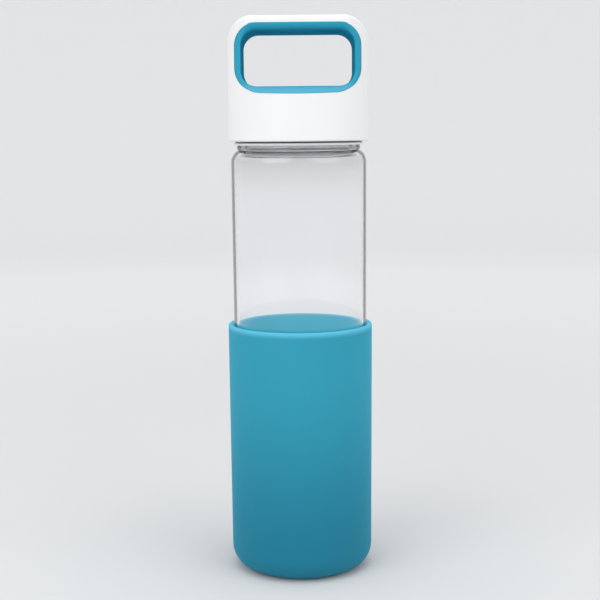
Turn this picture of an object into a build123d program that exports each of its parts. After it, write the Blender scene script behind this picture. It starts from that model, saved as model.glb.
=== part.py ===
from build123d import *
import os
from math import sqrt

# A wide-mouth glass water bottle that stands in a silicone sleeve and is closed by a screw lid
# with a carrying handle. Millimetres, +Z up, the sleeve stands on Z = 0, and the handle opening
# runs along Y.

os.makedirs("parts", exist_ok=True)

# Driving dimensions -----------------------------------------------------------------------------

overall_height = 254.4

sleeve_height = 115.5
sleeve_radius_bottom = 32.95
sleeve_radius_top = 33.45
sleeve_wall = 2.3
sleeve_corner = 10.0
sleeve_recess_depth = 0.9
sleeve_recess_radius = 20.0
sleeve_recess_round = 0.5
sleeve_rim_round = 1.1

body_gap = 0.3

glass_radius_top = 31.05
glass_wall = 2.0
glass_floor = 4.6
floor_crown = 0.4
punt_rise = 1.6
punt_radius = 19.0
punt_round = 2.0
shoulder_start = 189.0
shoulder_radius = 6.5
shoulder_radius_inside = 4.5
collar_radius = 28.2
collar_top = 198.4
finish_radius = 27.3
mouth_radius = 25.0
lip_height = 215.6
lip_round = 1.1

thread_lead = 6.0
thread_turns = 1.5
thread_depth = 1.2
thread_root = 2.4
thread_crest = 1.1
thread_start = 202.2
thread_gap = 0.35
thread_sink = 0.3

lid_bottom = 199.6
lid_radius_bottom = 32.25
lid_radius_top = 31.75
lid_corner = 12.0
handle_depth = 45.0
handle_slope_start = 224.0
handle_slope_end = 246.0
lid_edge_round = 0.8
handle_edge_round = 2.0
base_band_top = 222.0

opening_width = 50.6
opening_floor = 223.8
opening_ceiling = 248.5
opening_corner = 7.0
flare_start = 19.5
flare_drop = 3.0
flare_side = 1.2
grip_width = 56.4
grip_top = 251.0
grip_sag = 1.3
grip_side_bottom = 221.9
grip_corner_top = 9.5
grip_corner_bottom = 11.0

liner_radius = 30.2
liner_bore = 28.85
liner_lip_radius = 29.6
liner_lip_drop = 1.7
liner_top = 219.0
liner_disc = 1.6
locating_rib_outer = 24.2
locating_rib_inner = 22.8
locating_rib_drop = 2.0

gasket_outer = 28.6
gasket_inner = 24.4
gasket_thickness = 1.6
gasket_round = 0.35
gasket_gap = 0.1

# Derived dimensions -----------------------------------------------------------------------------

glass_radius_bottom = sleeve_radius_bottom - sleeve_wall - body_gap
glass_base = sleeve_wall + body_gap
glass_inner_floor = glass_base + glass_floor
glass_corner = sleeve_corner - sleeve_wall - body_gap
inner_radius_top = glass_radius_top - glass_wall
inner_radius_bottom = glass_radius_bottom - glass_wall
disc_bottom = liner_top - liner_disc
thread_offset = (thread_root + thread_crest) / 2 + thread_gap
lid_corner_reach = lid_radius_top + 0.5
beyond_lid = lid_radius_bottom + 1.0


def arc_end_height(wall_radius, arc_radius, end_radius):
    """Height at which a shoulder arc that starts upright at wall_radius has come in to end_radius."""
    inward = arc_radius - (wall_radius - end_radius)
    return shoulder_start + sqrt(arc_radius**2 - inward**2)


def add_thread(wall_radius, depth, start_height):
    """Add a right-hand thread to the current part; a negative depth points it inwards."""
    sink = thread_sink if depth > 0 else -thread_sink
    with BuildLine() as path:
        Helix(
            pitch=thread_lead,
            height=thread_lead * thread_turns,
            radius=wall_radius - sink,
            center=(0, 0, start_height),
        )
    start_plane = Plane(origin=path.line @ 0, x_dir=(1, 0, 0), z_dir=path.line % 0)
    with BuildSketch(start_plane) as profile:
        with BuildLine():
            Polyline(
                (0, -thread_root / 2),
                (sink + depth, -thread_crest / 2),
                (sink + depth, thread_crest / 2),
                (0, thread_root / 2),
                close=True,
            )
        make_face()
    sweep(profile.sketch, path=path.line, is_frenet=True)


# Glass bottle -----------------------------------------------------------------------------------

shoulder_end = arc_end_height(glass_radius_top, shoulder_radius, collar_radius)
shoulder_end_inside = arc_end_height(inner_radius_top, shoulder_radius_inside, mouth_radius)

with BuildPart() as glass_bottle:
    with BuildSketch(Plane.XZ):
        with BuildLine():
            FilletPolyline(
                (0, glass_base + punt_rise),
                (punt_radius - punt_rise, glass_base + punt_rise),
                (punt_radius, glass_base),
                (glass_radius_bottom, glass_base),
                (glass_radius_top, shoulder_start),
                radius=[punt_round, punt_round, glass_corner],
            )
            RadiusArc(
                (glass_radius_top, shoulder_start),
                (collar_radius, shoulder_end),
                -shoulder_radius,
            )
            Polyline(
                (collar_radius, shoulder_end),
                (collar_radius, collar_top),
                (finish_radius, collar_top + (collar_radius - finish_radius)),
                (finish_radius, lip_height),
                (mouth_radius, lip_height),
                (mouth_radius, shoulder_end_inside),
            )
            RadiusArc(
                (mouth_radius, shoulder_end_inside),
                (inner_radius_top, shoulder_start),
                shoulder_radius_inside,
            )
            FilletPolyline(
                (inner_radius_top, shoulder_start),
                (inner_radius_bottom, glass_inner_floor),
                (0, glass_inner_floor + floor_crown),
                radius=[glass_corner - glass_wall],
            )
            Line((0, glass_inner_floor + floor_crown), (0, glass_base + punt_rise))
        make_face()
        lip_corners = vertices().group_by(Axis.Y)[-1]
        fillet(lip_corners, radius=lip_round)
    revolve(axis=Axis.Z)
    # The screw thread on the neck stands out from the finish.
    add_thread(finish_radius, thread_depth, thread_start)

glass_bottle.part.label = "glass_bottle"
export_step(glass_bottle.part, "parts/glass_bottle.step")

# Silicone sleeve --------------------------------------------------------------------------------

with BuildPart() as silicone_sleeve:
    with BuildSketch(Plane.XZ):
        with BuildLine():
            FilletPolyline(
                (0, sleeve_recess_depth),
                (sleeve_recess_radius - sleeve_recess_depth, sleeve_recess_depth),
                (sleeve_recess_radius, 0),
                (sleeve_radius_bottom, 0),
                (sleeve_radius_top, sleeve_height),
                (sleeve_radius_top - sleeve_wall, sleeve_height),
                (sleeve_radius_bottom - sleeve_wall, sleeve_wall),
                (0, sleeve_wall),
                radius=[
                    sleeve_recess_round,
                    sleeve_recess_round,
                    sleeve_corner,
                    sleeve_rim_round,
                    sleeve_rim_round,
                    sleeve_corner - sleeve_wall,
                ],
            )
            Line((0, sleeve_wall), (0, sleeve_recess_depth))
        make_face()
    revolve(axis=Axis.Z)

silicone_sleeve.part.label = "silicone_sleeve"
export_step(silicone_sleeve.part, "parts/silicone_sleeve.step")

# Lid --------------------------------------------------------------------------------------------

# The outer form that the white shell and the coloured grip share.
with BuildPart() as lid_form:
    # A slightly tapered round block.
    with BuildSketch(Plane.XY.offset(lid_bottom)):
        Circle(lid_radius_bottom)
    with BuildSketch(Plane.XY.offset(overall_height)):
        Circle(lid_radius_top)
    loft()
    # Seen from the side, the block narrows to the depth of the handle bar.
    with BuildSketch(Plane.YZ):
        with BuildLine():
            Polyline(
                (-beyond_lid, lid_bottom),
                (beyond_lid, lid_bottom),
                (beyond_lid, handle_slope_start),
                (handle_depth / 2, handle_slope_end),
                (handle_depth / 2, overall_height),
                (-handle_depth / 2, overall_height),
                (-handle_depth / 2, handle_slope_end),
                (-beyond_lid, handle_slope_start),
                close=True,
            )
        make_face()
    extrude(amount=beyond_lid, both=True, mode=Mode.INTERSECT)
    # Seen from the front, the two upper corners are round.
    with BuildSketch(Plane.XZ):
        with Locations((0, (lid_bottom + overall_height) / 2)):
            Rectangle(2 * lid_corner_reach, overall_height - lid_bottom)
        fillet(vertices().group_by(Axis.Y)[-1], radius=lid_corner)
    extrude(amount=beyond_lid, both=True, mode=Mode.INTERSECT)
    fillet(edges().filter_by_position(Axis.Z, base_band_top, overall_height + 1), handle_edge_round)
    fillet(edges().group_by(Axis.Z)[0], radius=lid_edge_round)

# The front outline of the grip: a rounded frame whose lower edge sags in an arc.
with BuildSketch(Plane.XZ) as grip_outline:
    with BuildLine():
        Polyline(
            (grip_width / 2, grip_side_bottom),
            (grip_width / 2, grip_top),
            (-grip_width / 2, grip_top),
            (-grip_width / 2, grip_side_bottom),
        )
        ThreePointArc(
            (-grip_width / 2, grip_side_bottom),
            (0, grip_side_bottom - grip_sag),
            (grip_width / 2, grip_side_bottom),
        )
    make_face()
    fillet(vertices().group_by(Axis.Y)[-1], radius=grip_corner_top)
    fillet(vertices().group_by(Axis.Y)[0], radius=grip_corner_bottom)

with BuildPart() as handle_grip:
    add(lid_form)
    extrude(grip_outline.sketch, amount=beyond_lid, both=True, mode=Mode.INTERSECT)
    # The straight passage for the fingers.
    with BuildSketch(Plane.XZ):
        with Locations((0, (opening_floor + opening_ceiling) / 2)):
            RectangleRounded(opening_width, opening_ceiling - opening_floor, opening_corner)
    extrude(amount=beyond_lid, both=True, mode=Mode.SUBTRACT)
    # Each mouth of the passage widens towards the face, most of all at its floor.
    for side in (1, -1):
        with BuildSketch(Plane.XZ.offset(side * flare_start)):
            with Locations((0, (opening_floor + opening_ceiling) / 2)):
                RectangleRounded(opening_width, opening_ceiling - opening_floor, opening_corner)
        with BuildSketch(Plane.XZ.offset(side * lid_radius_bottom)):
            with Locations((0, (opening_floor - flare_drop + opening_ceiling + flare_side) / 2)):
                RectangleRounded(
                    opening_width + 2 * flare_side,
                    opening_ceiling - opening_floor + flare_drop + flare_side,
                    opening_corner + flare_side,
                )
        loft(mode=Mode.SUBTRACT)

handle_grip.part.label = "handle_grip"
export_step(handle_grip.part, "parts/handle_grip.step")

with BuildPart() as lid_shell:
    add(lid_form)
    extrude(grip_outline.sketch, amount=beyond_lid, both=True, mode=Mode.SUBTRACT)
    # The round pocket that holds the liner.
    with BuildSketch(Plane.XY.offset(lid_bottom)):
        Circle(liner_radius)
    extrude(amount=liner_top - lid_bottom, mode=Mode.SUBTRACT)

lid_shell.part.label = "lid_shell"
export_step(lid_shell.part, "parts/lid_shell.step")

# Liner ------------------------------------------------------------------------------------------

with BuildPart() as lid_liner:
    with BuildSketch(Plane.XZ):
        with BuildLine():
            Polyline(
                (0, disc_bottom),
                (locating_rib_inner, disc_bottom),
                (locating_rib_inner, disc_bottom - locating_rib_drop),
                (locating_rib_outer, disc_bottom - locating_rib_drop),
                (locating_rib_outer, disc_bottom),
                (liner_bore, disc_bottom),
                (liner_bore, lid_bottom - liner_lip_drop),
                (liner_lip_radius, lid_bottom - liner_lip_drop),
                (liner_lip_radius, lid_bottom),
                (liner_radius, lid_bottom),
                (liner_radius, liner_top),
                (0, liner_top),
                close=True,
            )
        make_face()
    revolve(axis=Axis.Z)
    # The matching thread inside, just under the flank of the thread on the neck.
    add_thread(liner_bore, -thread_depth, thread_start - thread_offset)

lid_liner.part.label = "lid_liner"
export_step(lid_liner.part, "parts/lid_liner.step")

# Gasket -----------------------------------------------------------------------------------------

with BuildPart() as seal_gasket:
    with BuildSketch(Plane.XZ):
        gasket_width = gasket_outer - gasket_inner
        gasket_middle = (gasket_outer + gasket_inner) / 2
        with Locations((gasket_middle, disc_bottom - gasket_gap - gasket_thickness / 2)):
            RectangleRounded(gasket_width, gasket_thickness, gasket_round)
    revolve(axis=Axis.Z)

seal_gasket.part.label = "seal_gasket"
export_step(seal_gasket.part, "parts/seal_gasket.step")

for piece in (glass_bottle, silicone_sleeve, handle_grip, lid_shell, lid_liner, seal_gasket):
    box = piece.part.bounding_box()
    print(piece.part.label, "solids", len(piece.part.solids()), "valid", piece.part.is_valid)
    print("   volume", round(piece.part.volume), "mm3, from", box.min, "to", box.max)
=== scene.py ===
# %% [markdown]
# # A glass water bottle in a silicone sleeve
#
# The bottle stands upright in a teal silicone sleeve and is closed by a white screw lid whose top
# is a carrying handle. The CAD model fixes every place and nearly every size. Here the same pieces
# get their finished shapes and surfaces: clear glass with an even wall, soft silicone, satin
# moulded plastic, and a soft ring that lines the finger opening.

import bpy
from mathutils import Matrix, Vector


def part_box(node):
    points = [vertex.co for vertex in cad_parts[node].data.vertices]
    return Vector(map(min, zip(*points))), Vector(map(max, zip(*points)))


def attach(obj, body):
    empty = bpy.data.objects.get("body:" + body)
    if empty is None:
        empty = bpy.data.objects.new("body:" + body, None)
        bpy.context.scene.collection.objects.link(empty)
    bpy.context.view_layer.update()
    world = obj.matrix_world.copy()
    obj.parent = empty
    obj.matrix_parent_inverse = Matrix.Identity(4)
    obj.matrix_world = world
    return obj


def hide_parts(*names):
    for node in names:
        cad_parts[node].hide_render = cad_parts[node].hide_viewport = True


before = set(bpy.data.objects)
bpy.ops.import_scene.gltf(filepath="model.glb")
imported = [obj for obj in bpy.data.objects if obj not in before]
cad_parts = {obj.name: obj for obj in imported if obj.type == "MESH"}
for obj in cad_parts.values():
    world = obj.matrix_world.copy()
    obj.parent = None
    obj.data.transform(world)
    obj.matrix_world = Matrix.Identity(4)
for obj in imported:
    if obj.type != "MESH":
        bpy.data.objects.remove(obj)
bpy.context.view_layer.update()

# %% Tools used everywhere
import math

import bmesh
import bpy
from mathutils import Quaternion, Vector

MM = 0.001
scene = bpy.context.scene
bpy.ops.object.select_all(action="DESELECT")

# %% [markdown]
# ## The camera
#
# A bottle is usually pictured from a little above its middle with a long lens, so that its sides
# stay almost parallel. The camera stands in front of the bottle, 58.5 cm from its axis and just
# above the foot of the lid, and looks down by about eight degrees. It is turned half a degree
# about its own line of sight.

# %% Place the camera
CAMERA_DISTANCE = 0.585
CAMERA_HEIGHT = 0.205
CAMERA_PITCH = math.radians(7.69)
CAMERA_ROLL = math.radians(-0.53)
CAMERA_LENS = 75.97

camera_data = bpy.data.cameras.new("camera")
camera_data.lens = CAMERA_LENS
camera_data.sensor_width = 36
camera_data.clip_start = 0.01
camera = bpy.data.objects.new("camera", camera_data)
scene.collection.objects.link(camera)
camera.location = (0, -CAMERA_DISTANCE, CAMERA_HEIGHT)
line_of_sight = Vector((0, math.cos(CAMERA_PITCH), -math.sin(CAMERA_PITCH)))
camera.rotation_mode = "QUATERNION"
camera.rotation_quaternion = line_of_sight.to_track_quat("-Z", "Y") @ Quaternion(
    (0, 0, 1), CAMERA_ROLL
)
scene.camera = camera
print("camera:", CAMERA_DISTANCE, "m away,", CAMERA_HEIGHT, "m up, lens", CAMERA_LENS, "mm")

# %% [markdown]
# ## The studio floor
#
# Clear glass shows little of itself. It is read by the pale surface behind it and by thin dark
# lines along its edges. The surface is one pale sheet that lies flat under the bottle and curves
# up at a distance. The dark lines are painted shade in the finish of the glass, so that they show
# from every side.

# %% Pour the floor
FLOOR_RADIUS = 1.6
FLOOR_RISE = 1.1
FLOOR_STEPS = 24
FLOOR_SEGMENTS = 128

bpy.ops.mesh.primitive_circle_add(
    vertices=FLOOR_SEGMENTS, radius=FLOOR_RADIUS, fill_type="NGON"
)
floor = bpy.context.object
floor.name = "floor"
bpy.ops.object.mode_set(mode="EDIT")
bpy.ops.mesh.select_mode(type="EDGE")
bpy.ops.mesh.select_all(action="SELECT")
bpy.ops.mesh.region_to_loop()
for step in range(FLOOR_STEPS):
    turn_before = math.pi / 2 * step / FLOOR_STEPS
    turn_after = math.pi / 2 * (step + 1) / FLOOR_STEPS
    radius_before = FLOOR_RADIUS + FLOOR_RISE * math.sin(turn_before)
    radius_after = FLOOR_RADIUS + FLOOR_RISE * math.sin(turn_after)
    climb = FLOOR_RISE * (math.cos(turn_before) - math.cos(turn_after))
    bpy.ops.mesh.extrude_region_move(TRANSFORM_OT_translate={"value": (0, 0, climb)})
    widen = radius_after / radius_before
    bpy.ops.transform.resize(value=(widen, widen, 1))
bpy.ops.mesh.select_all(action="SELECT")
bpy.ops.mesh.flip_normals()
bpy.ops.object.mode_set(mode="OBJECT")
bpy.ops.object.shade_smooth()
print("floor faces:", len(floor.data.polygons))

# %% [markdown]
# ## The light
#
# A glossy or clear surface mirrors its lamps, so the lamps are broad and soft. A square panel
# stands on each side in front, the left one stronger so that the round forms get a lit and a
# shaded side, and a third hangs above. A pale room fills in the rest.

# %% Hang the lights
AIM = (0, 0, 0.13)
ROOM_TONE = (0.98, 0.99, 1.0)
ROOM_STRENGTH = 0.8
PANELS = [
    ("left panel", (-0.85, -0.95, 0.85), 1.2, 6.5),
    ("right panel", (0.95, -0.75, 0.8), 1.2, 4),
    ("top panel", (0, -0.15, 1.1), 0.9, 3.5),
]


def add_panel(name, place, side, watts):
    """A soft square light panel at a place, facing the bottle."""
    light = bpy.data.lights.new(name, "AREA")
    light.shape = "SQUARE"
    light.size = side
    light.energy = watts
    panel = bpy.data.objects.new(name, light)
    scene.collection.objects.link(panel)
    panel.location = place
    panel.rotation_mode = "QUATERNION"
    panel.rotation_quaternion = (Vector(AIM) - Vector(place)).to_track_quat("-Z", "Y")
    print(name, "of", watts, "W at", place)


for panel_values in PANELS:
    add_panel(*panel_values)

world = bpy.data.worlds.new("room")
scene.world = world
world.use_nodes = True
background = world.node_tree.nodes["Background"]
background.inputs["Color"].default_value = (*ROOM_TONE, 1)
background.inputs["Strength"].default_value = ROOM_STRENGTH
scene.view_settings.view_transform = "Standard"

# %% [markdown]
# ## Shader arithmetic
#
# A finish is a small calculation: some noise, a mask, a mix of two tones. Written as nodes and
# links it is hard to read, so one small class wraps a socket and lets the usual signs of
# arithmetic add the Math nodes. Any other node comes from a single method.

# %% The socket class
class Wire:
    """A node's output that can be used in arithmetic."""

    def __init__(self, tree, socket=None):
        self.tree = tree
        self.socket = socket

    def add(self, kind, settings=None, inputs=None, output=0):
        """Add a node: its type, its settings, then the value or link of each socket."""
        node = self.tree.nodes.new("ShaderNode" + kind)
        for name, value in (settings or {}).items():
            if name == "stops":
                ramp = node.color_ramp
                while len(ramp.elements) < len(value):
                    ramp.elements.new(1)
                for element, (place, color) in zip(ramp.elements, value):
                    element.position = place
                    element.color = color
            else:
                setattr(node, name, value)
        for name, value in (inputs or {}).items():
            if isinstance(value, Wire):
                self.tree.links.new(value.socket, node.inputs[name])
            else:
                node.inputs[name].default_value = value
        return Wire(self.tree, node.outputs[output])

    def maths(self, operation, first, second):
        """Add a Math node."""
        return self.add("Math", {"operation": operation}, {0: first, 1: second})

    def __add__(self, other):
        return self.maths("ADD", self, other)

    def __radd__(self, other):
        return self.maths("ADD", other, self)

    def __sub__(self, other):
        return self.maths("SUBTRACT", self, other)

    def __rsub__(self, other):
        return self.maths("SUBTRACT", other, self)

    def __mul__(self, other):
        return self.maths("MULTIPLY", self, other)

    def __rmul__(self, other):
        return self.maths("MULTIPLY", other, self)


# %% Start a finish
def new_finish(name):
    """A new material with one Principled shader. Returns the material, a Wire and the shader."""
    material = bpy.data.materials.new(name)
    material.use_nodes = True
    tree = material.node_tree
    return material, Wire(tree), tree.nodes["Principled BSDF"]


def feed(wires, shader, socket_name, value):
    """Link what varies over the surface to one of the shader's sockets."""
    wires.tree.links.new(value.socket, shader.inputs[socket_name])


def blend_colors(wires, amount, first, second):
    """Mix two plain colours by a Wire that runs from 0 to 1."""
    return wires.add(
        "Mix",
        {"data_type": "RGBA", "clamp_factor": True},
        {0: amount, 6: (*first, 1), 7: (*second, 1)},
        output=2,
    )


def noise(wires, scale, detail):
    """Noise in the piece's own coordinates, about 0.5 on average."""
    place = wires.add("TexCoord", output=3)
    return wires.add("TexNoise", {}, {"Vector": place, "Scale": scale, "Detail": detail})


def grain(wires, shader, height, strength, distance):
    """Raise a fine relief on the surface."""
    bump = wires.add("Bump", {}, {"Height": height, "Strength": strength, "Distance": distance})
    feed(wires, shader, "Normal", bump)


# %% [markdown]
# ## Where on a piece
#
# A tone that belongs to one part of a piece, such as its rim, needs to know where each point lies.
# Every piece here stands at the origin, so its own coordinates give the height and the distance
# from the axis, and they stay with the piece when it moves.

# %% Height, radius and masks
def height_of(wires):
    """The height of each point, in metres."""
    place = wires.add("TexCoord", output=3)
    return wires.add("SeparateXYZ", {}, {0: place}, output=2)


def radius_of(wires):
    """The distance of each point from the axis, in metres."""
    place = wires.add("TexCoord", output=3)
    flat = wires.add("VectorMath", {"operation": "MULTIPLY"}, {0: place, 1: (1, 1, 0)})
    return wires.add("VectorMath", {"operation": "LENGTH"}, {0: flat}, output=1)


def smooth_rise(wires, value, start, end):
    """Run smoothly from 0 where a value is start to 1 where it is end."""
    return wires.add(
        "MapRange",
        {"interpolation_type": "SMOOTHSTEP"},
        {"Value": value, "From Min": start, "From Max": end},
    )


def height_mask(wires, start, end):
    """A mask that runs smoothly from 0 at one height to 1 at another, in mm."""
    return smooth_rise(wires, height_of(wires), start * MM, end * MM)


def inner_face(wires, radius, low, high):
    """A mask of 1 inside a radius and between two heights, in mm."""
    height = height_of(wires)
    inside = wires.maths("LESS_THAN", radius_of(wires), radius * MM)
    above = wires.maths("GREATER_THAN", height, low * MM)
    below = wires.maths("LESS_THAN", height, high * MM)
    return inside * above * below


# %% [markdown]
# ## Finishes: glass
#
# The bottle is clear glass, and a solid with two skins, so the light bends twice at each wall as
# it does in the real one. Where the real wall is seen edge on, light travels a long way through
# it, and the edge shows as a thin dark line. Here the outer wall gets a dark tint that follows the
# Layer Weight: painted shade, far darker than the long path through the glass makes it. Seen
# from steeply above, that tint spreads and the glass looks greyer than it should.
#
# The tone by height is painted shade and no property of the glass. It greys the wall a little
# towards the shoulder and more on the bead of the neck, where the lid shades it.
#
# The surface waves a little, since glass is never perfectly even. Tracing light from a lamp
# through bent glass is slow and grainy, so shadow and diffuse rays pass straight through.

# %% Clear glass
GLASS_IOR = 1.47
# The dark tint of the edges is painted shade.
PAINTED_EDGE_SHADE = (0.03, 0.032, 0.032)
EDGE_STARTS = 0.66
EDGE_FULL = 0.74
# The radius midway through the wall, below and above the shoulder, parts the outer skin from the
# inner one.
MID_WALL_BODY = (191.0, 29.7)
MID_WALL_NECK = (195.0, 26.2)
TONE_LOW = 170.0
TONE_HIGH = 200.0
# Painted shade by height on the glass wall: (height in mm, tone).
PAINTED_WALL_SHADE = [
    (170.0, 0.99),
    (177.0, 0.98),
    (186.0, 0.92),
    (191.0, 0.87),
    (195.8, 0.92),
    (196.5, 0.5),
    (197.9, 0.52),
    (198.8, 0.88),
]
BLUISH = 1.01
STRAIGHT_THROUGH = 0.98


def painted_shade_by_height(wires):
    """The painted shade of the glass wall, which greys towards the neck."""
    rise = wires.add(
        "MapRange",
        {},
        {"Value": height_of(wires), "From Min": TONE_LOW * MM, "From Max": TONE_HIGH * MM},
    )
    stops = [
        ((height - TONE_LOW) / (TONE_HIGH - TONE_LOW), (tone, tone, tone * BLUISH, 1))
        for height, tone in PAINTED_WALL_SHADE
    ]
    return wires.add("ValToRGB", {"stops": stops}, {0: rise})


def outer_skin(wires):
    """A mask of 1 on the outside of the glass and 0 on the inside."""
    middle_of_wall = wires.add(
        "MapRange",
        {},
        {
            "Value": height_of(wires),
            "From Min": MID_WALL_BODY[0] * MM,
            "From Max": MID_WALL_NECK[0] * MM,
            "To Min": MID_WALL_BODY[1] * MM,
            "To Max": MID_WALL_NECK[1] * MM,
        },
    )
    return wires.maths("GREATER_THAN", radius_of(wires), middle_of_wall)


def clear_glass(name):
    """Clear glass with painted dark edges and painted shade by height, which lets shadow and
    diffuse rays straight through.
    """
    material, wires, shader = new_finish(name)
    shader.inputs["Transmission Weight"].default_value = 1
    shader.inputs["IOR"].default_value = GLASS_IOR
    shader.inputs["Roughness"].default_value = 0
    facing = wires.add("LayerWeight", {}, {"Blend": 0.5}, output=1)
    edge_on = smooth_rise(wires, facing, EDGE_STARTS, EDGE_FULL)
    painted_glass_shade = wires.add(
        "Mix",
        {"data_type": "RGBA", "clamp_factor": True},
        {0: edge_on * outer_skin(wires), 6: painted_shade_by_height(wires), 7: (*PAINTED_EDGE_SHADE, 1)},
        output=2,
    )
    feed(wires, shader, "Base Color", painted_glass_shade)
    grain(wires, shader, noise(wires, 18, 1), 0.05, 0.001)
    shadow_ray = wires.add("LightPath", output=1)
    diffuse_ray = wires.add("LightPath", output=2)
    straight = wires.add("BsdfTransparent", {}, {"Color": (*[STRAIGHT_THROUGH] * 3, 1)})
    mix = wires.tree.nodes.new("ShaderNodeMixShader")
    wires.tree.links.new((shadow_ray + diffuse_ray).socket, mix.inputs[0])
    wires.tree.links.new(shader.outputs[0], mix.inputs[1])
    wires.tree.links.new(straight.socket, mix.inputs[2])
    wires.tree.links.new(mix.outputs[0], wires.tree.nodes["Material Output"].inputs[0])
    return material


glass_finish = clear_glass("clear glass")
print("finish:", glass_finish.name, "with", len(PAINTED_WALL_SHADE), "tones by height")

# %% [markdown]
# ## Finishes: soft and hard plastics
#
# A sleeve and a gasket of this kind are silicone rubber. Silicone out of a blasted mould is matt,
# with a faint sheen at grazing angles, where dust and the fine texture catch the light. The shell
# and the liner are hard white plastic with a satin face, and they let a little light in below the
# skin, which rounds off the shading. The ring in the handle is a matt soft plastic.

# %% Silicone and plastic
PLASTIC_IOR = 1.43
SCATTER_DEPTH = 0.0015


def moulded(name, tone, shade, roughness, spread, relief, gloss=0.5, sheen=0.0, scatter=0.0):
    """A moulded part: two close tones, a roughness that wanders, and a fine grained skin."""
    material, wires, shader = new_finish(name)
    cloud = noise(wires, 30, 4)
    feed(wires, shader, "Base Color", blend_colors(wires, cloud, tone, shade))
    fine = noise(wires, 400, 2)
    feed(wires, shader, "Roughness", (fine - 0.5) * spread + roughness)
    skin = noise(wires, 2600, 2)
    grain(wires, shader, skin, relief, 0.0002)
    shader.inputs["IOR"].default_value = PLASTIC_IOR
    shader.inputs["Specular IOR Level"].default_value = gloss
    shader.inputs["Sheen Weight"].default_value = sheen
    shader.inputs["Sheen Tint"].default_value = (*[min(1, 2 * part) for part in tone], 1)
    shader.inputs["Sheen Roughness"].default_value = 0.5
    shader.inputs["Subsurface Weight"].default_value = scatter
    shader.inputs["Subsurface Radius"].default_value = (1, 1, 1)
    shader.inputs["Subsurface Scale"].default_value = SCATTER_DEPTH
    print("finish:", name)
    return material


sleeve_finish = moulded(
    "teal silicone",
    (0.03, 0.305, 0.43),
    (0.027, 0.285, 0.405),
    0.65,
    0.1,
    0.25,
    gloss=0.2,
    sheen=0.3,
)
shell_finish = moulded(
    "white plastic", (0.81, 0.81, 0.81), (0.795, 0.795, 0.795), 0.38, 0.08, 0.06, scatter=0.1
)
grip_finish = moulded(
    "teal grip plastic", (0.034, 0.33, 0.48), (0.03, 0.315, 0.46), 0.7, 0.08, 0.08, gloss=0
)
liner_finish = moulded(
    "liner plastic", (0.78, 0.8, 0.81), (0.76, 0.78, 0.79), 0.3, 0.06, 0.05, scatter=0.1
)
gasket_finish = moulded("seal silicone", (0.7, 0.72, 0.72), (0.68, 0.7, 0.7), 0.5, 0.1, 0.1)

# %% [markdown]
# ## Painted light and shade that belong to a place
#
# Some parts of a finish get a tone of their own that stands for light and shade. The sleeve gets
# painted shade that darkens it towards its base and a painted highlight at its rolled rim, the
# inside of the sleeve gets painted light so that it reads through the glass, and the lower lip of
# the ring gets painted light. Like the painted shade of the glass these are looks. The groove
# above the liner's foot gets painted shade, dark as a narrow gap is.

# %% Paint light and shade into parts of the finishes
def paint_light_or_shade(material, mask_of, tone):
    """Paint light or shade into part of a finish, where a mask is 1, as a tone of its own."""
    tree = material.node_tree
    wires = Wire(tree)
    shader = tree.nodes["Principled BSDF"]
    under = Wire(tree, shader.inputs["Base Color"].links[0].from_socket)
    both = wires.add(
        "Mix",
        {"data_type": "RGBA", "clamp_factor": True},
        {0: mask_of(wires), 6: under, 7: (*tone, 1)},
        output=2,
    )
    feed(wires, shader, "Base Color", both)
    print("retoned:", material.name)


# Painted shade: the sleeve darkens towards its base.
paint_light_or_shade(sleeve_finish, lambda wires: height_mask(wires, 100, 8), (0.012, 0.185, 0.285))
# Painted light: the inside of the sleeve is lighter, so that it reads through the glass.
paint_light_or_shade(sleeve_finish, lambda wires: inner_face(wires, 31.6, 11, 116), (0.04, 0.6, 0.8))
# Painted highlight on the rolled rim of the sleeve.
paint_light_or_shade(sleeve_finish, lambda wires: height_mask(wires, 112.4, 115.2) * 0.8, (0.12, 0.5, 0.68))
# Painted shade in the groove above the liner's foot.
paint_light_or_shade(liner_finish, lambda wires: inner_face(wires, 29.4, 198.9, 199.7), (0.05, 0.05, 0.05))
# Painted light on the lower lip of the ring, which faces up.
paint_light_or_shade(grip_finish, lambda wires: height_mask(wires, 225.5, 222.8), (0.08, 0.365, 0.525))

# %% [markdown]
# ## The finish of the floor
#
# The floor is a matt pale sheet, a little darker under the bottle and paler where it curves up.

# %% Finish the floor
FLOOR_NEAR = (0.665, 0.67, 0.675)
FLOOR_FAR = (0.9, 0.9, 0.9)
FLOOR_PALES_FROM = 0.15
FLOOR_PALES_TO = 1.3


def coat(piece, material):
    """Give a piece one material."""
    piece.data.materials.clear()
    piece.data.materials.append(material)


floor_finish, floor_wires, floor_shader = new_finish("pale floor")
floor_place = floor_wires.add("TexCoord", output=3)
floor_reach = floor_wires.add("VectorMath", {"operation": "LENGTH"}, {0: floor_place}, output=1)
floor_rise = smooth_rise(floor_wires, floor_reach, FLOOR_PALES_FROM, FLOOR_PALES_TO)
floor_tone = blend_colors(floor_wires, floor_rise, FLOOR_NEAR, FLOOR_FAR)
feed(floor_wires, floor_shader, "Base Color", floor_tone)
floor_shader.inputs["Roughness"].default_value = 0.9
floor_shader.inputs["Specular IOR Level"].default_value = 0.1
coat(floor, floor_finish)
print("finish:", floor_finish.name)


# %% [markdown]
# ## Turned pieces
#
# The glass, the sleeve and the liner are all round, so each is modelled as on a lathe. It starts
# as a disc, and the disc is extruded and scaled from station to station along the outside, over
# the rim, and down the inside to the inner floor, where it stays as the last face. The result is
# one closed skin, so the wall has a real thickness everywhere. A modifier such as Screw could turn
# a drawn profile too, but extruding a disc leaves no seam and no open pole.

# %% The lathe
SEGMENTS = 160


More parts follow.
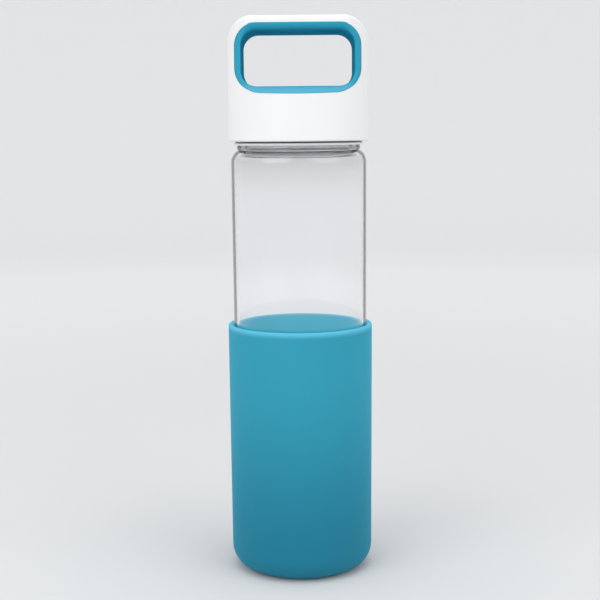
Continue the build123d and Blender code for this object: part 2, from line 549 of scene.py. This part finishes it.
def outline(corners, steps=8):
    """The points of a line through the corners (radius, height, rounding), rounded as they say."""
    points = []
    for index, (across, up, rounding) in enumerate(corners):
        here = Vector((across, up))
        if rounding == 0:
            points.append(here)
            continue
        before = Vector(corners[index - 1][:2])
        after = Vector(corners[index + 1][:2])
        arriving = (here - before).normalized()
        leaving = (after - here).normalized()
        turn = arriving.angle(leaving)
        reach = rounding * math.tan(turn / 2)
        centre = here + (leaving - arriving).normalized() * rounding / math.cos(turn / 2)
        first = here - arriving * reach - centre
        last = here + leaving * reach - centre
        for step in range(steps + 1):
            part = step / steps
            swept = first * math.sin((1 - part) * turn) + last * math.sin(part * turn)
            points.append(centre + swept / math.sin(turn))
    return points


def turned(name, points):
    """Model a round piece by extruding a disc along the points (radius, height), in mm."""
    bpy.ops.object.select_all(action="DESELECT")
    start = points[0]
    bpy.ops.mesh.primitive_circle_add(
        vertices=SEGMENTS,
        radius=start.x * MM,
        fill_type="NGON",
        location=(0, 0, start.y * MM),
    )
    piece = bpy.context.object
    piece.name = name
    bpy.ops.object.mode_set(mode="EDIT")
    for here, there in zip(points, points[1:]):
        climb = (there.y - here.y) * MM
        bpy.ops.mesh.extrude_region_move(TRANSFORM_OT_translate={"value": (0, 0, climb)})
        widen = there.x / here.x
        bpy.ops.transform.resize(value=(widen, widen, 1))
    bpy.ops.mesh.select_all(action="SELECT")
    bpy.ops.mesh.normals_make_consistent(inside=False)
    bpy.ops.object.mode_set(mode="OBJECT")
    bpy.ops.object.transform_apply(location=True, rotation=True, scale=True)
    return piece


def smooth(piece, degrees=35):
    """Shade a piece smooth, apart from edges sharper than an angle."""
    bpy.ops.object.select_all(action="DESELECT")
    piece.select_set(True)
    bpy.context.view_layer.objects.active = piece
    bpy.ops.object.shade_smooth_by_angle(angle=math.radians(degrees))


def apply_modifiers(piece):
    """Apply a piece's modifiers from first to last."""
    bpy.ops.object.select_all(action="DESELECT")
    piece.select_set(True)
    bpy.context.view_layer.objects.active = piece
    for modifier in list(piece.modifiers):
        bpy.ops.object.modifier_apply(modifier=modifier.name)


def closed(piece):
    """True if every edge of the piece has exactly two faces."""
    mesh = bmesh.new()
    mesh.from_mesh(piece.data)
    result = all(len(edge.link_faces) == 2 for edge in mesh.edges)
    mesh.free()
    return result


# %% [markdown]
# ## The screw thread
#
# The neck of the glass and the liner of the lid carry the same right-hand thread, one turn and a
# half with a lead of 6 mm. Its section is a small trapezium with rounded crests. The Screw
# modifier winds that section up the neck, and each end then sinks into the wall over a sixth of a
# turn, as a moulded thread does. A Boolean union joins it to the wall, because a second skin of
# glass inside the first would show.

# %% Wind a thread
THREAD_LEAD = 6.0
THREAD_TURNS = 1.5
THREAD_ROOT = 2.4
THREAD_CREST = 1.1
THREAD_DEPTH = 1.2
THREAD_SINK = 0.3
THREAD_ROUND = 0.35
THREAD_GAP = 0.35
THREAD_BELOW_LIP = 13.4
THREAD_RUN_OUT = math.radians(60)
THREAD_STEPS = 72


def thread_angle(point, start_height):
    """How far along the thread a point is, in radians from the thread's start."""
    around = math.atan2(point.y, point.x)
    climbed = (point.z / MM - start_height) / THREAD_LEAD * 2 * math.pi
    return around + 2 * math.pi * round((climbed - around) / (2 * math.pi))


def wind_thread(wall_radius, depth, start_height):
    """A closed thread rib on a wall; a negative depth points it inwards."""
    side = 1 if depth > 0 else -1
    root = (wall_radius - side * THREAD_SINK) * MM
    crest = (wall_radius + depth) * MM
    bpy.ops.object.select_all(action="DESELECT")
    bpy.ops.mesh.primitive_plane_add(size=1, rotation=(math.pi / 2, 0, 0))
    rib = bpy.context.object
    rib.scale = (abs(crest - root), THREAD_ROOT * MM, 1)
    rib.location = ((crest + root) / 2, 0, start_height * MM)
    bpy.ops.object.transform_apply(location=True, rotation=True, scale=True)
    bpy.ops.object.mode_set(mode="EDIT")
    mesh = bmesh.from_edit_mesh(rib.data)
    for vertex in mesh.verts:
        vertex.select = abs(vertex.co.x - crest) < 0.01 * MM
    mesh.select_flush_mode()
    bmesh.update_edit_mesh(rib.data)
    bpy.ops.transform.resize(value=(1, 1, THREAD_CREST / THREAD_ROOT))
    bpy.ops.mesh.bevel(offset=THREAD_ROUND * MM, segments=3, affect="VERTICES")
    bpy.ops.mesh.select_all(action="SELECT")
    bpy.ops.mesh.delete(type="ONLY_FACE")
    bpy.ops.object.mode_set(mode="OBJECT")
    screw = rib.modifiers.new("wind", "SCREW")
    screw.axis = "Z"
    screw.angle = 2 * math.pi * THREAD_TURNS
    screw.screw_offset = THREAD_LEAD * THREAD_TURNS * MM
    screw.steps = screw.render_steps = int(THREAD_STEPS * THREAD_TURNS)
    apply_modifiers(rib)
    full_turn = 2 * math.pi * THREAD_TURNS
    for vertex in rib.data.vertices:
        angle = thread_angle(vertex.co, start_height)
        ramp = min(angle, full_turn - angle) / THREAD_RUN_OUT
        ramp = max(0.0, min(1.0, ramp))
        sunk = (1 - ramp * ramp * (3 - 2 * ramp)) * (abs(depth) + 0.6 * THREAD_SINK) * MM
        flat = Vector((vertex.co.x, vertex.co.y, 0))
        height_above_root = side * (flat.length - root) / abs(crest - root)
        vertex.co -= flat.normalized() * side * sunk * max(0.0, height_above_root)
    bpy.ops.object.mode_set(mode="EDIT")
    bpy.ops.mesh.select_all(action="DESELECT")
    bpy.ops.mesh.select_non_manifold()
    bpy.ops.mesh.edge_face_add()
    bpy.ops.mesh.select_all(action="SELECT")
    bpy.ops.mesh.normals_make_consistent(inside=False)
    bpy.ops.object.mode_set(mode="OBJECT")
    return rib


def join_solid(piece, rib):
    """Unite a rib with a piece as one solid, and remove the rib."""
    unite = piece.modifiers.new("unite", "BOOLEAN")
    unite.operation = "UNION"
    unite.solver = "EXACT"
    unite.object = rib
    apply_modifiers(piece)
    bpy.data.objects.remove(rib)

# %% [markdown]
# ## The glass
#
# A bottle like this can be made from a glass tube that is closed at the bottom and drawn in at the
# top. The wall of its body is an even 2 mm, the floor is thicker, and a shallow hollow in the
# underside lets it stand on its outer ring. The shoulder is tight, a short neck sits under the
# lid, and the lip is round. The crease where the shoulder meets the neck is softly rounded, because
# hot glass keeps no sharp inner corner, and a low bead runs round the neck above it. The shoulder
# starts 1 mm higher than in the CAD model.

# %% Turn the glass
def arc(centre_radius, centre_height, radius, first, last, steps=10):
    """Corner points on an arc, from one angle to another in degrees, for outline()."""
    points = []
    for step in range(steps + 1):
        turn = math.radians(first + (last - first) * step / steps)
        across = centre_radius + radius * math.cos(turn)
        points.append((across, centre_height + radius * math.sin(turn), 0))
    return points


bottle_low, bottle_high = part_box("glass_bottle")
glass_foot = bottle_low.z / MM
lip_top = bottle_high.z / MM
BODY_RADIUS = 30.35
BODY_CORNER = 7.4
GLASS_WALL = 2.0
GLASS_FLOOR = 4.6
FLOOR_CROWN = 0.37
PUNT_RADIUS = 19.0
PUNT_RISE = 1.6
PUNT_ROUND = 2.0
SHOULDER_CENTRE = 24.55
SHOULDER_RADIUS = 6.5
COLLAR_RADIUS = 28.2
NECK_RADIUS = 27.3
MOUTH_RADIUS = 25.0
LIP_ROUND = 1.1
SHOULDER_BELOW_LIP = 25.6
COLLAR_BELOW_LIP = 17.2
# The crease above the shoulder, then the two edges of the bead. Each has how far it stands out
# from the collar, its height above the start of the shoulder, and its rounding.
BEAD = [(-0.4, 5.5, 0.3), (0.2, 6.6, 0.6), (-0.1, 8.0, 0.6)]
shoulder_start = lip_top - SHOULDER_BELOW_LIP
collar_top = lip_top - COLLAR_BELOW_LIP

glass_points = outline(
    [
        (12, glass_foot + PUNT_RISE, 0),
        (PUNT_RADIUS - PUNT_RISE, glass_foot + PUNT_RISE, PUNT_ROUND),
        (PUNT_RADIUS, glass_foot, PUNT_ROUND),
        (BODY_RADIUS, glass_foot, BODY_CORNER),
        *arc(SHOULDER_CENTRE, shoulder_start, SHOULDER_RADIUS, 0, 55)[:-1],
        *[(COLLAR_RADIUS + out, shoulder_start + up, rounding) for out, up, rounding in BEAD],
        (NECK_RADIUS, collar_top + 0.8, 0.5),
        (NECK_RADIUS, lip_top, LIP_ROUND),
        (MOUTH_RADIUS, lip_top, LIP_ROUND),
        *arc(SHOULDER_CENTRE, shoulder_start, SHOULDER_RADIUS - GLASS_WALL, 84, 0),
        (BODY_RADIUS - GLASS_WALL, glass_foot + GLASS_FLOOR, BODY_CORNER - GLASS_WALL),
        (2, glass_foot + GLASS_FLOOR + FLOOR_CROWN, 0),
    ]
)
glass = turned("glass_body", glass_points)
neck_thread = wind_thread(NECK_RADIUS, THREAD_DEPTH, lip_top - THREAD_BELOW_LIP)
print("thread rib closed:", closed(neck_thread))
join_solid(glass, neck_thread)
smooth(glass)
coat(glass, glass_finish)
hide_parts("glass_bottle")
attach(glass, "bottle")
print("glass closed:", closed(glass), "faces:", len(glass.data.polygons))

# %% [markdown]
# ## The sleeve
#
# The sleeve is a silicone cup moulded in one piece. Its wall is 2.3 mm thick and widens a little
# towards the top, its rim is rolled over on both sides, and its base has a shallow round recess,
# so that it stands on a ring.

# %% Turn the sleeve
SLEEVE_WALL = 2.3
SLEEVE_TAPER = 0.5
SLEEVE_CORNER = 10.0
RIM_ROUND = 1.1
RECESS_RADIUS = 20.0
RECESS_DEPTH = 0.9
RECESS_ROUND = 0.5
_, sleeve_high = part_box("silicone_sleeve")
rim_top = sleeve_high.z / MM
rim_radius = sleeve_high.x / MM
foot_radius = rim_radius - SLEEVE_TAPER

sleeve_points = outline(
    [
        (12, RECESS_DEPTH, 0),
        (RECESS_RADIUS - RECESS_DEPTH, RECESS_DEPTH, RECESS_ROUND),
        (RECESS_RADIUS, 0, RECESS_ROUND),
        (foot_radius, 0, SLEEVE_CORNER),
        (rim_radius, rim_top, RIM_ROUND),
        (rim_radius - SLEEVE_WALL, rim_top, RIM_ROUND),
        (foot_radius - SLEEVE_WALL, SLEEVE_WALL, SLEEVE_CORNER - SLEEVE_WALL),
        (8, SLEEVE_WALL, 0),
    ]
)
sleeve = turned("sleeve_cup", sleeve_points)
smooth(sleeve)
coat(sleeve, sleeve_finish)
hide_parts("silicone_sleeve")
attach(sleeve, "sleeve")
print("sleeve closed:", closed(sleeve), "faces:", len(sleeve.data.polygons))

# %% [markdown]
# ## The liner
#
# Inside the white shell sits a threaded cup. Its lower edge reaches just under the shell and
# shows as a bright line. A groove runs round it just above that edge, and parts it from the shell
# with a dark line, which painted shade in the liner's finish deepens. It has a round locating rib
# in its ceiling that holds the gasket in place, and its thread points inwards, just below the
# flank of the thread on the neck.

# %% Turn the liner
liner_low, liner_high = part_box("lid_liner")
liner_top = liner_high.z / MM
liner_foot = liner_low.z / MM
LINER_BORE = 28.85
LINER_DISC = 1.6
LINER_STEP = 1.7
GROOVE_LOW = 0.95
GROOVE_SKIN = 0.2
FOOT_INSET = 0.6
RIB_OUTER = 24.2
RIB_INNER = 22.8
RIB_DROP = 2.0
RIB_ROUND = 0.3
liner_radius = liner_high.x / MM
liner_ceiling = liner_top - LINER_DISC
groove_radius = LINER_BORE + GROOVE_SKIN
liner_foot_radius = liner_radius - FOOT_INSET

liner_points = outline(
    [
        (10, liner_top, 0),
        (liner_radius, liner_top, 0.4),
        (liner_radius, liner_foot + LINER_STEP, 0),
        (groove_radius, liner_foot + LINER_STEP, 0),
        (groove_radius, liner_foot + GROOVE_LOW, 0),
        (liner_foot_radius, liner_foot + GROOVE_LOW, 0.3),
        (liner_foot_radius, liner_foot, 0.3),
        (LINER_BORE, liner_foot, 0.2),
        (LINER_BORE, liner_ceiling, 0.5),
        (RIB_OUTER, liner_ceiling, RIB_ROUND),
        (RIB_OUTER, liner_ceiling - RIB_DROP, RIB_ROUND),
        (RIB_INNER, liner_ceiling - RIB_DROP, RIB_ROUND),
        (RIB_INNER, liner_ceiling, RIB_ROUND),
        (8, liner_ceiling, 0),
    ],
    steps=4,
)
liner = turned("liner_cup", liner_points)
thread_offset = (THREAD_ROOT + THREAD_CREST) / 2 + THREAD_GAP
inner_start = lip_top - THREAD_BELOW_LIP - thread_offset
inner_thread = wind_thread(LINER_BORE, -THREAD_DEPTH, inner_start)
join_solid(liner, inner_thread)
smooth(liner)
coat(liner, liner_finish)
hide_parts("lid_liner")
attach(liner, "lid")
print("liner closed:", closed(liner), "faces:", len(liner.data.polygons))

# %% [markdown]
# ## The ring in the handle
#
# A soft plastic ring lines the finger opening. From the front it is a rounded frame. In section it
# is a broad strip whose two edges roll outwards until they lie flush with the white shell, and the
# floor of the opening rolls out furthest. A torus already is a closed ring of sections, so the ring
# starts as one, and every section is then laid on two outlines: the outer edge of the ring and the
# throat that the fingers pass through. The outer edge overlaps the shell a little, which hides the
# seam.

# %% The outlines of the ring
EDGE_STEPS = 14
FLANGE = 0.3
GRIP_HALF_WIDTH = 28.2
GRIP_HEIGHT = 29.1
GRIP_LOW_CORNER = 11.0
GRIP_HIGH_CORNER = 9.5
GRIP_SAG = 1.4
THROAT_HALF_WIDTH = 25.3
THROAT_LOW = 27.2
THROAT_HIGH = 2.5
THROAT_CORNER = 7.0


def frame_outline(half_width, low, high, low_corner, high_corner, sag=0.0):
    """Points (x, z) round a rounded frame, anticlockwise seen from the front."""
    quarters = [
        (half_width, low, low_corner, -90),
        (half_width, high, high_corner, 0),
        (-half_width, high, high_corner, 90),
        (-half_width, low, low_corner, 180),
    ]
    arcs = []
    for across, up, rounding, first in quarters:
        centre_x = across - math.copysign(rounding, across)
        centre_z = up + rounding if up == low else up - rounding
        arcs.append(
            [
                Vector((point[0], point[1]))
                for point in arc(centre_x, centre_z, rounding, first, first + 90)
            ]
        )
    points = []
    for here, there in zip(arcs, arcs[1:] + arcs[:1]):
        points += here
        points += [here[-1].lerp(there[0], step / EDGE_STEPS) for step in range(1, EDGE_STEPS)]
    for point in points:
        lowness = max(0.0, 1 - (point.y - low) / low_corner)
        point.y -= sag * (1 - (point.x / half_width) ** 2) * min(1.0, lowness)
    return points


_, grip_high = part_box("handle_grip")
grip_top = grip_high.z / MM
outer_outline = frame_outline(
    GRIP_HALF_WIDTH + FLANGE,
    grip_top - GRIP_HEIGHT - FLANGE,
    grip_top + FLANGE,
    GRIP_LOW_CORNER + FLANGE,
    GRIP_HIGH_CORNER + FLANGE,
    sag=GRIP_SAG,
)
throat_outline = frame_outline(
    THROAT_HALF_WIDTH, grip_top - THROAT_LOW, grip_top - THROAT_HIGH, THROAT_CORNER, THROAT_CORNER
)
print("points round the ring:", len(outer_outline), len(throat_outline))

# %% [markdown]
# ## How far the ring reaches forward
#
# The ring follows the face of the lid. That face is the nearer of two forms: the tapered round
# block, and a slab that narrows from the foot of the handle up to its bar. They meet in a softened
# edge. The place of the outer edge is found more exactly, by sending a ray at the shell, and the
# ring stands a hair proud of what it hits, so that no gap shows.

# %% The depth of the lid's face
LID_FOOT = 199.6
LID_HEIGHT = 54.8
LID_FOOT_RADIUS = 32.25
LID_TAPER = 0.5
SLAB_HALF = 22.5
SLAB_FOOT_HALF = 33.25
SLAB_LOW = 224.0
SLAB_HIGH = 246.0
SOFT_REACH = 2.4
SOFT_CUT = 0.4
RAY_START = 50
RAY_CLEARANCE = 0.25
PROUD = 0.14


def face_depth(x, z):
    """Half the depth of the lid at a place seen from the front, in mm."""
    round_radius = LID_FOOT_RADIUS - LID_TAPER * (z - LID_FOOT) / LID_HEIGHT
    round_depth = math.sqrt(max(0.0, round_radius**2 - x**2))
    slope = max(0.0, SLAB_HIGH - z) / (SLAB_HIGH - SLAB_LOW)
    slab_depth = SLAB_HALF + slope * (SLAB_FOOT_HALF - SLAB_HALF)
    gap = abs(round_depth - slab_depth)
    blend = max(0.0, 1 - gap / SOFT_REACH)
    return min(round_depth, slab_depth) - SOFT_CUT * blend * blend


def shell_depth(outer, throat):
    """Half the depth of the shell just outside the ring, found by a ray from the front."""
    outside = outer + (outer - throat).normalized() * RAY_CLEARANCE
    start = Vector((outside.x, -RAY_START, outside.y)) * MM
    hit, place, _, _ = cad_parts["lid_shell"].ray_cast(start, Vector((0, 1, 0)))
    return PROUD + (-place.y / MM if hit else face_depth(outer.x, outer.y))


# %% [markdown]
# ## The sections of the ring
#
# Each section starts in the middle of the throat, runs forward, rolls outwards in a quarter round
# until it is almost flush with the shell, and runs back along the outer edge. The back half mirrors
# the front.

# %% Shape the ring
THROAT_HALF = 19.5
LEAST_ROLL = 1.8
LIP_STEPS = 10


def ring_section(outer, throat):
    """Points of one section of the ring, from the middle of the throat round by the front."""
    edge = shell_depth(outer, throat)
    off = edge - face_depth(outer.x, outer.y)
    throat_depth = min(THROAT_HALF, face_depth(throat.x, throat.y) - LEAST_ROLL)
    roll = face_depth(throat.x, throat.y) - throat_depth
    half = [(throat, throat_depth * part) for part in (0.0, 0.3, 0.6, 0.85)]
    for step in range(LIP_STEPS + 1):
        turn = math.pi / 2 * (1 - step / LIP_STEPS)
        across = math.sin(turn)
        place = outer.lerp(throat, across)
        flush = face_depth(place.x, place.y) + off * (1 - across)
        half.append((place, flush - roll * (1 - math.cos(turn))))
    half[-1] = (outer.lerp(throat, 0.06), half[-1][1])
    half += [(outer, edge - part) for part in (0.1, 0.5)]
    half += [(outer, edge * part) for part in (0.6, 0.3)]
    back = [(place, -depth) for place, depth in reversed(half[1:])]
    return half + [(outer, 0.0)] + back


sections = [ring_section(*pair) for pair in zip(outer_outline, throat_outline)]
bpy.ops.object.select_all(action="DESELECT")
bpy.ops.mesh.primitive_torus_add(
    major_segments=len(sections), minor_segments=len(sections[0]), location=(0, 0, 0)
)
ring = bpy.context.object
ring.name = "grip_ring"
laid = [point for section in sections for point in section]
for vertex, (place, depth) in zip(ring.data.vertices, laid):
    vertex.co = Vector((place.x, -depth, place.y)) * MM
bpy.ops.object.mode_set(mode="EDIT")
bpy.ops.mesh.select_all(action="SELECT")
bpy.ops.mesh.normals_make_consistent(inside=False)
bpy.ops.object.mode_set(mode="OBJECT")
smooth(ring, 50)
coat(ring, grip_finish)
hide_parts("handle_grip")
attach(ring, "lid")
print("ring closed:", closed(ring), "faces:", len(ring.data.polygons))

# %% [markdown]
# ## The shell and the gasket
#
# The shell and the gasket have their full shape in the CAD model already, with the edges that show
# rounded, so they stay, and only get their finishes.

# %% Finish the kept pieces
for node_name, finish in (("lid_shell", shell_finish), ("seal_gasket", gasket_finish)):
    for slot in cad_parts[node_name].material_slots:
        slot.material = finish
    print(node_name, "is finished in", finish.name)
